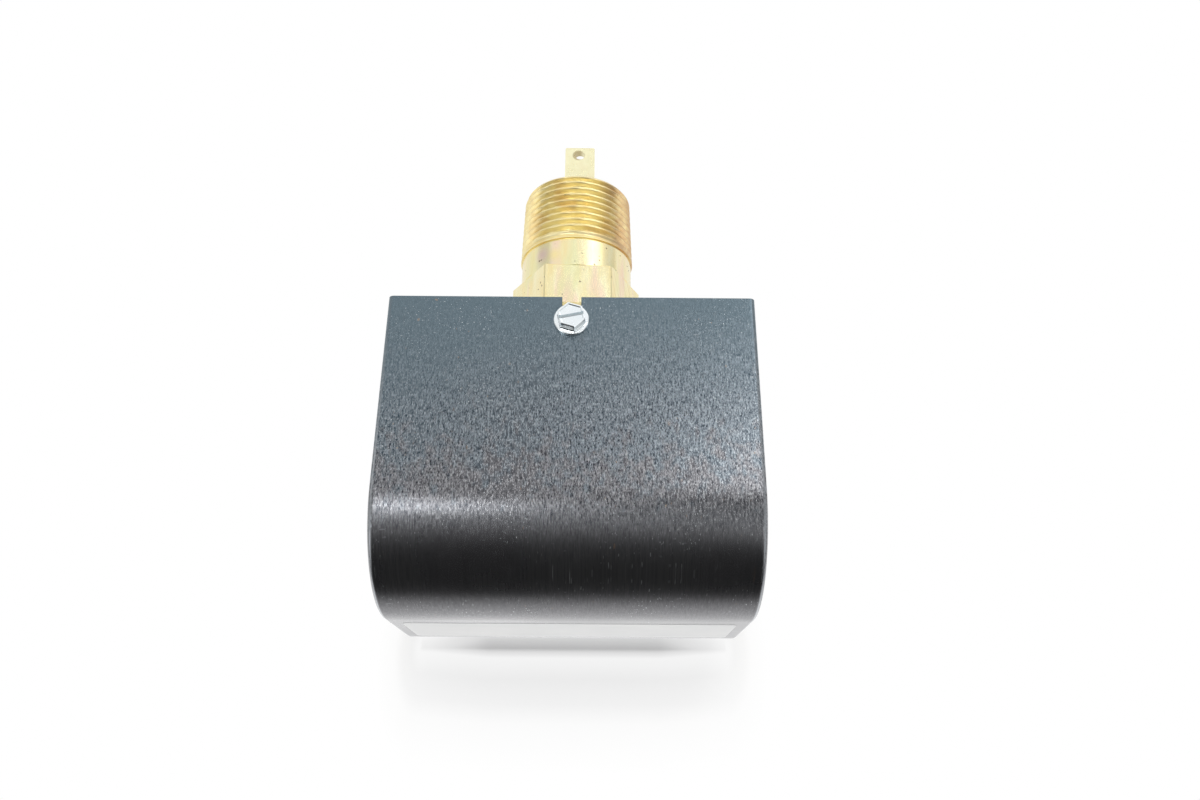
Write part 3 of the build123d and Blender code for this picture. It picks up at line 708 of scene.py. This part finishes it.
def cover_screw():
    """Slotted hexagon head with a dished top, on a washer face and a plain shank."""
    low_corner, high_corner = [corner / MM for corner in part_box("cover_screw")]
    face_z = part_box("cover")[1].z / MM
    washer_r, washer_t, flats, shank_r = 4.35, 0.9, 6.35, 2.05
    corner_r, slot_w, slot_deep, dish = 3.62, 0.85, 1.4, 0.3
    place = (
        (low_corner.x + high_corner.x) / 2, (low_corner.y + high_corner.y) / 2, face_z,
    )
    top = high_corner.z - face_z
    low = low_corner.z - face_z
    rows = [
        (low, shank_r - 0.4), (low + 0.5, shank_r), (0, shank_r), (0, washer_r - 0.12),
        (0.15, washer_r), (0.7, washer_r), (0.84, washer_r - 0.15),
        (washer_t, hexagon(flats, corner_r, 0.18)), (washer_t + 0.2, hexagon(flats, corner_r)),
        (top - 0.2, hexagon(flats, corner_r)), (top, hexagon(flats - 0.5, 3.4)),
        (top, hexagon(flats - 0.9, 3.2)), (top - dish, hexagon(flats - 1.2, 3.05)),
    ]
    shell = spin(rows, place, UP, HEAD_TURN, 96)
    obj = make_mesh("cover_screw_head", *shell, MATS["head"], "cover_screw", "zinc", 12.0)
    slot_at = (place[0], place[1], face_z + top)
    cut_slots(obj, [(slot_at, UP, HEAD_SLOT_TURN, (9, slot_w, 2 * slot_deep))], 12.0)
    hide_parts("cover_screw")


cover_screw()


# Small fasteners inside, each in the place of its CAD solid
def pan_head(length, shank_r, head_r, head_t):
    """Rows of a pan-head screw, from its tip at -length to the top of its head."""
    return [
        (-length, shank_r - 0.3), (-length + 0.3, shank_r), (0, shank_r), (0, head_r - 0.1),
        (0.1, head_r), (0.45 * head_t, head_r), (0.74 * head_t, 0.90 * head_r),
        (0.92 * head_t, 0.70 * head_r), (head_t, 0.40 * head_r),
    ]


def dome_head(length, shank_r, head_r, head_t):
    """Rows of a rivet with a low dome."""
    rows = [(-length, shank_r), (0, shank_r), (0, head_r)]
    steps = 6
    for k in range(1, steps):
        angle = math.pi / 2 * k / steps
        rows.append((0.2 * head_t + 0.8 * head_t * math.sin(angle), head_r * math.cos(angle)))
    return rows + [(head_t, 0.05)]


def ground_head(length, shank_r, washer_r, head_t):
    """Rows of a hexagon head on a washer face."""
    washer_t, flats = 0.8, 6.35
    return [
        (-length, shank_r), (0, shank_r), (0, washer_r), (washer_t - 0.15, washer_r),
        (washer_t, washer_r - 0.15), (washer_t, hexagon(flats, 3.6, 0.1)),
        (washer_t + 0.1, hexagon(flats, 3.6)), (head_t - 0.3, hexagon(flats, 3.6)),
        (head_t, hexagon(flats, 3.1)),
    ]


def fasteners(name, node, axis, head_t, shank_r, mat, slot_name, rows_for, slot_w=0.9,
              turns=(0.3,)):
    """Builds a node's screws or rivets, with slots where slot_w isn't 0, to stand for the node."""
    along = Vector(axis)
    shells, slots = [], []
    for number, (low, high) in enumerate(solids(node)):
        middle = (low + high) / 2
        reach = abs((high - low).dot(along))
        seat = middle + along * (reach / 2 - head_t)
        across = [abs(d) for d in (high - low) - along * (high - low).dot(along)]
        head_r = max(across) / 2
        turn = turns[number % len(turns)]
        shells.append(spin(rows_for(reach - head_t, shank_r, head_r, head_t), seat, axis, turn, 48))
        slots.append((seat + along * head_t, axis, turn, (2.4 * head_r, slot_w, 0.9 * head_t)))
    obj = make_mesh(name, *join(shells), mat, "housing", slot_name, 32.0)
    if slot_w:
        cut_slots(obj, slots)
    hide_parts(node)


fasteners("bracket_screw_heads", "bracket_screws", (0, -1, 0), 2.2, 1.7, MATS["zinc"], "zinc",
          pan_head, turns=(0.3, 1.2, 2.1, 0.7))
fasteners("switch_screw_heads", "switch_mounting_screws", (1, 0, 0), 2.0, 1.5, MATS["zinc"],
          "zinc", pan_head, 0.8, turns=(0.5, 1.4))
fasteners("terminal_screw_heads", "terminal_screws", UP, 2.2, 1.5, MATS["zinc"], "zinc",
          pan_head, 0.9, turns=(0.0, 0.25, -0.2))
fasteners("rivet_heads", "end_plate_rivets", (0, -1, 0), 1.0, 1.6, MATS["steel"], "steel",
          dome_head, 0)
fasteners("ground_screw_head", "ground_screw", (0, -1, 0), 3.2, 1.7, MATS["green"],
          "ground_green", ground_head, 1.0, turns=(0.4,))


def range_screw():
    """Slotted round head over a threaded shank."""
    low, high = [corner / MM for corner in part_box("range_screw")]
    head_t, shank_r, pitch, depth, slot_w, slot_deep = 3.0, 2.5, 0.8, 0.32, 1.2, 1.3
    shelf_z = high.z - head_t
    place = ((low.x + high.x) / 2, (low.y + high.y) / 2, shelf_z)
    head_r = (high.x - low.x) / 2
    length = shelf_z - low.z
    per_turn = 8
    steps = int(length / pitch * per_turn)

    def threaded(distance):
        def radius(angle):
            phase = (distance / pitch - angle / (2 * math.pi)) % 1.0
            return shank_r - depth * abs(2 * phase - 1)

        return radius

    rows = [(-length, shank_r - 0.9)]
    for k in range(1, steps):
        distance = -length + length * k / steps
        rows.append((distance, threaded(distance)))
    rows += [
        (0, shank_r), (0, head_r - 0.15), (0.15, head_r), (head_t - 0.45, head_r),
        (head_t - 0.12, head_r - 0.14), (head_t, head_r - 0.5),
    ]
    shell = spin(rows, place, UP, 0.0, 48)
    obj = make_mesh("range_screw_turned", *shell, MATS["brass"], "range_screw", "brass", 30.0)
    top = (place[0], place[1], shelf_z + head_t)
    cut_slots(obj, [(top, UP, 0.0, (2.4 * head_r, slot_w, 2 * slot_deep))])
    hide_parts("range_screw")


range_screw()


def round_spring():
    """Compression spring with closed ends, in two halves that meet in the middle.
    """
    low_corner, high_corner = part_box("range_spring")
    middle_x = (low_corner.x + high_corner.x) / 2 / MM
    middle_y = (low_corner.y + high_corner.y) / 2 / MM
    low, high = low_corner.z / MM, high_corner.z / MM
    radius, wire, closed_pitch = 4.0, 0.5, 0.12
    closed, active, per_turn, sides = 0.9, 4.2, 40, 14
    foot_z = low + wire + closed_pitch * closed
    head_z = high - wire - closed_pitch * closed
    total = closed * 2 + active
    steps = int(total * per_turn)
    points = []
    for k in range(steps + 1):
        turns = total * k / steps
        if turns < closed:
            z = low + wire + closed_pitch * turns
        elif turns > total - closed:
            z = high - wire - closed_pitch * (total - turns)
        else:
            z = foot_z + (head_z - foot_z) * (turns - closed) / active
        angle = 2 * math.pi * turns
        points.append(Vector((
            middle_x + radius * math.cos(angle), middle_y + radius * math.sin(angle), z,
        )))
    rings = []
    section = [2 * math.pi * k / sides for k in range(sides)]
    for k, point in enumerate(points):
        ahead = points[min(k + 1, len(points) - 1)] - points[max(k - 1, 0)]
        ahead.normalize()
        out = Vector((point.x - middle_x, point.y - middle_y, 0)).normalized()
        up = ahead.cross(out).normalized()
        rings.append([
            tuple((point + out * wire * math.cos(a) + up * wire * math.sin(a)) * MM)
            for a in section
        ])
    half = len(rings) // 2
    middle = (low + high) / 2
    for name, part, bodies, start_z, end_z in (
        ("range_spring_foot", rings[:half + 1], ("arm", "housing"), low, middle),
        ("range_spring_head", rings[half:], ("housing", "range_nut"), middle, high),
    ):
        obj = make_mesh(name, *closed_tube(part), MATS["spring"], None, "spring_steel")
        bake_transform(obj)
        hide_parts("range_spring")


round_spring()


# Softened edges on the carried sheet-metal and plastic pieces
for node, width in (
    ("base_plate", 0.15), ("left_end_plate", 0.2), ("right_end_plate", 0.2),
    ("range_bracket", 0.2), ("limit_bracket", 0.2), ("switch_bracket", 0.2),
    ("switch_case", 0.25), ("switch_lid", 0.25), ("paddle_arm", 0.15), ("fitting_locknut", 0.3),
    ("range_nut", 0.15), ("switch_lever", 0.15), ("switch_mounting_nuts", 0.2),
    ("switch_terminals", 0.1),
):
    bevel = NODES[node].modifiers.new("soft_edges", "BEVEL")
    bevel.width = width * MM
    bevel.segments = 2
    bevel.limit_method = "ANGLE"
    bevel.angle_limit = math.radians(40)


# Floor, world, lights and camera
COVER_LOW, COVER_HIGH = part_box("cover")
FLOOR_Z = COVER_LOW.z
FOOT_HALF_X = (COVER_HIGH.x - COVER_LOW.x) / 2
FOOT_HALF_Y = (COVER_HIGH.y - COVER_LOW.y) / 2
FOOT_Y = (COVER_HIGH.y + COVER_LOW.y) / 2
FLOOR_HALF = 3.0
SHADOW_REACH = 0.035
# How far the camera's view of the floor is lifted to white, at shares of the shadow's reach
SHADOW_LIFT = (
    (0.0, 0.0), (0.03, 0.45), (0.08, 0.80), (0.14, 0.76), (0.26, 0.62), (0.46, 0.69),
    (0.62, 0.90), (1.0, 1.0),
)


def floor_material():
    """White floor that keeps the part's shadow."""
    mat, t = material("floor_white")
    pos = t.coords()
    x, y, _ = t.split(pos)
    cloud = t.noise(pos, 6.0, 2.0, 0.5)
    path = t.add("ShaderNodeLightPath").outputs
    plain_color = t.mix(cloud, (0.93, 0.93, 0.93), (0.95, 0.95, 0.95))
    plain = t.add("ShaderNodeBsdfDiffuse", Color=plain_color)
    # what the camera sees is lifted towards white, by the distance from the enclosure's foot,
    # which counts for more at its sides
    white = t.add("ShaderNodeEmission", Color=(1, 1, 1, 1), Strength=1.0)
    past_x = t.math("MAXIMUM", t.math("SUBTRACT", t.math("ABSOLUTE", x), FOOT_HALF_X), 0.0)
    aside_x = t.math("MULTIPLY", past_x, 2.5)
    along_y = t.math("ABSOLUTE", t.math("SUBTRACT", y, FOOT_Y))
    aside_y = t.math("MAXIMUM", t.math("SUBTRACT", along_y, FOOT_HALF_Y), 0.0)
    aside = t.math("SQRT", t.math(
        "ADD", t.math("MULTIPLY", aside_x, aside_x), t.math("MULTIPLY", aside_y, aside_y)
    ))
    # the shadow is palest beside the open edge, and paler at its ends than in its middle
    edge_side = t.span(y, COVER_LOW.y, COVER_HIGH.y, 0.0, 0.022)
    ends = t.span(t.math("ABSOLUTE", x), 0.026, 0.044, 0.0, 0.0016)
    place = t.math("ADD", t.math("ADD", aside, edge_side), ends)
    lift = t.ramp(place, SHADOW_LIFT, SHADOW_REACH)
    seen = t.mix_shader(t.math("MULTIPLY", path["Is Camera Ray"], lift), plain, white)
    # what gloss sees is dark far off the label end, bright before it and duller beside the part
    before = t.span(y, -0.36, -0.13, 0.0, 1.5, smooth=True)
    beside = t.span(y, -0.12, -0.03, 1.0, 0.61, smooth=True)
    mirrored = t.math("MULTIPLY", before, beside)
    gloss = t.add("ShaderNodeEmission", Color=(1, 1, 1, 1), Strength=mirrored)
    ending = t.mix_shader(path["Is Glossy Ray"], seen, gloss)
    t.add("ShaderNodeOutputMaterial", Surface=ending.outputs[0])
    return mat


floor_mesh = bpy.data.meshes.new("floor")
floor_corners = [
    (FLOOR_HALF * x, FLOOR_HALF * y, FLOOR_Z) for x, y in ((-1, -1), (1, -1), (1, 1), (-1, 1))
]
floor_mesh.from_pydata(floor_corners, [], [(0, 1, 2, 3)])
floor = add_object("floor", floor_mesh)
floor_mesh.materials.append(floor_material())

# Brightness that gloss sees at lengthwise places from -1, the label side, to 1
GLOSS_BANDS = (
    (-0.84, 0.0), (-0.72, 0.02), (-0.60, 0.14), (-0.46, 0.48), (-0.32, 0.60), (-0.10, 0.46),
    (0.04, 0.54), (0.16, 0.74), (0.44, 0.90), (0.52, 0.99),
)
# Each glow: sideways and lengthwise place, sideways and lengthwise reach, and strength
GLOWS = (
    (-0.28, -0.13, 0.20, 0.10, 10.5),
    (0.26, 0.27, 0.16, 0.09, 7.0),
    (0.50, 0.50, 0.24, 0.40, 1.0),
    (-0.79, 0.50, 0.13, 0.40, -0.34),
    (0.84, 0.30, 0.14, 0.40, -0.35),
    (-0.74, -0.48, 0.34, 0.30, 0.85),
    (0.62, -0.52, 0.30, 0.30, 0.75),
    (0.32, -0.50, 0.18, 0.30, 0.60),
)
world = bpy.data.worlds.new("studio")
bpy.context.scene.world = world
world.use_nodes = True
w = Nodes(world.node_tree)
direction = w.add("ShaderNodeTexCoord").outputs["Generated"]
dx, dy, dz = w.split(direction)
path = w.add("ShaderNodeLightPath").outputs
# Reflections: bright overhead and behind the fitting, dark low down on the label side, with a
# glow to each side of the camera
gloss_level = w.ramp(
    w.span(dy, -1.0, 1.0), [((place + 1) / 2, level) for place, level in GLOSS_BANDS]
)
above = w.math("GREATER_THAN", dz, 0.0)
for glow_x, glow_y, reach_x, reach_y, strength in GLOWS:
    off_x = w.math("DIVIDE", w.math("SUBTRACT", dx, glow_x), reach_x)
    off_y = w.math("DIVIDE", w.math("SUBTRACT", dy, glow_y), reach_y)
    reach = w.math("ADD", w.math("MULTIPLY", off_x, off_x), w.math("MULTIPLY", off_y, off_y))
    glow = w.span(reach, 0.0, 1.0, strength, 0.0, smooth=True)
    gloss_level = w.math("ADD", gloss_level, w.math("MULTIPLY", glow, above))
ambient = w.add("ShaderNodeBackground", Color=(1, 1, 1, 1), Strength=0.80)
glossy = w.add("ShaderNodeBackground", Color=(0.97, 0.985, 1.0, 1), Strength=gloss_level)
backdrop = w.add("ShaderNodeBackground", Color=(1, 1, 1, 1), Strength=1.0)
lit = w.mix_shader(path["Is Glossy Ray"], ambient, glossy)
surroundings = w.mix_shader(path["Is Camera Ray"], lit, backdrop)
w.add("ShaderNodeOutputWorld", Surface=surroundings.outputs[0])


def area_light(name, place, target, size, power):
    light = bpy.data.lights.new(name, "AREA")
    light.shape = "SQUARE"
    light.size = size
    light.energy = power
    obj = add_object(name, light)
    obj.location = place
    obj.rotation_euler = (Vector(target) - Vector(place)).to_track_quat("-Z", "Y").to_euler()
    obj.visible_glossy = False


area_light("key", (0.25, 0.75, 1.25), (0, -0.06, 0), 0.8, 5.0)
area_light("fill", (-0.6, -0.3, 1.1), (0, -0.06, 0), 0.9, 1.2)

# Camera at the photograph's place and angle, with its place in mm
CAMERA_PLACE = (6.3, -166.2, 241.8)
yaw, pitch, roll = math.radians(0.66), math.radians(67.66), math.radians(1.04)
run = math.cos(pitch)
forward = Vector((math.sin(yaw) * run, math.cos(yaw) * run, -math.sin(pitch)))
right = Vector((math.cos(yaw), -math.sin(yaw), 0))
up = right.cross(forward)
cam_x = math.cos(roll) * right + math.sin(roll) * up
cam_y = -math.sin(roll) * right + math.cos(roll) * up
cam_z = -forward
camera_data = bpy.data.cameras.new("camera")
camera_data.sensor_width = 36.0
camera_data.lens = 27.0
camera_data.clip_start = 0.01
camera = add_object("camera", camera_data)
columns = (cam_x, cam_y, cam_z, Vector(CAMERA_PLACE) * MM)
camera.matrix_world = Matrix((
    *[[column[row] for column in columns] for row in range(3)], (0, 0, 0, 1),
))
bpy.context.scene.camera = camera
bpy.context.scene.view_settings.view_transform = "Standard"

bpy.context.view_layer.update()
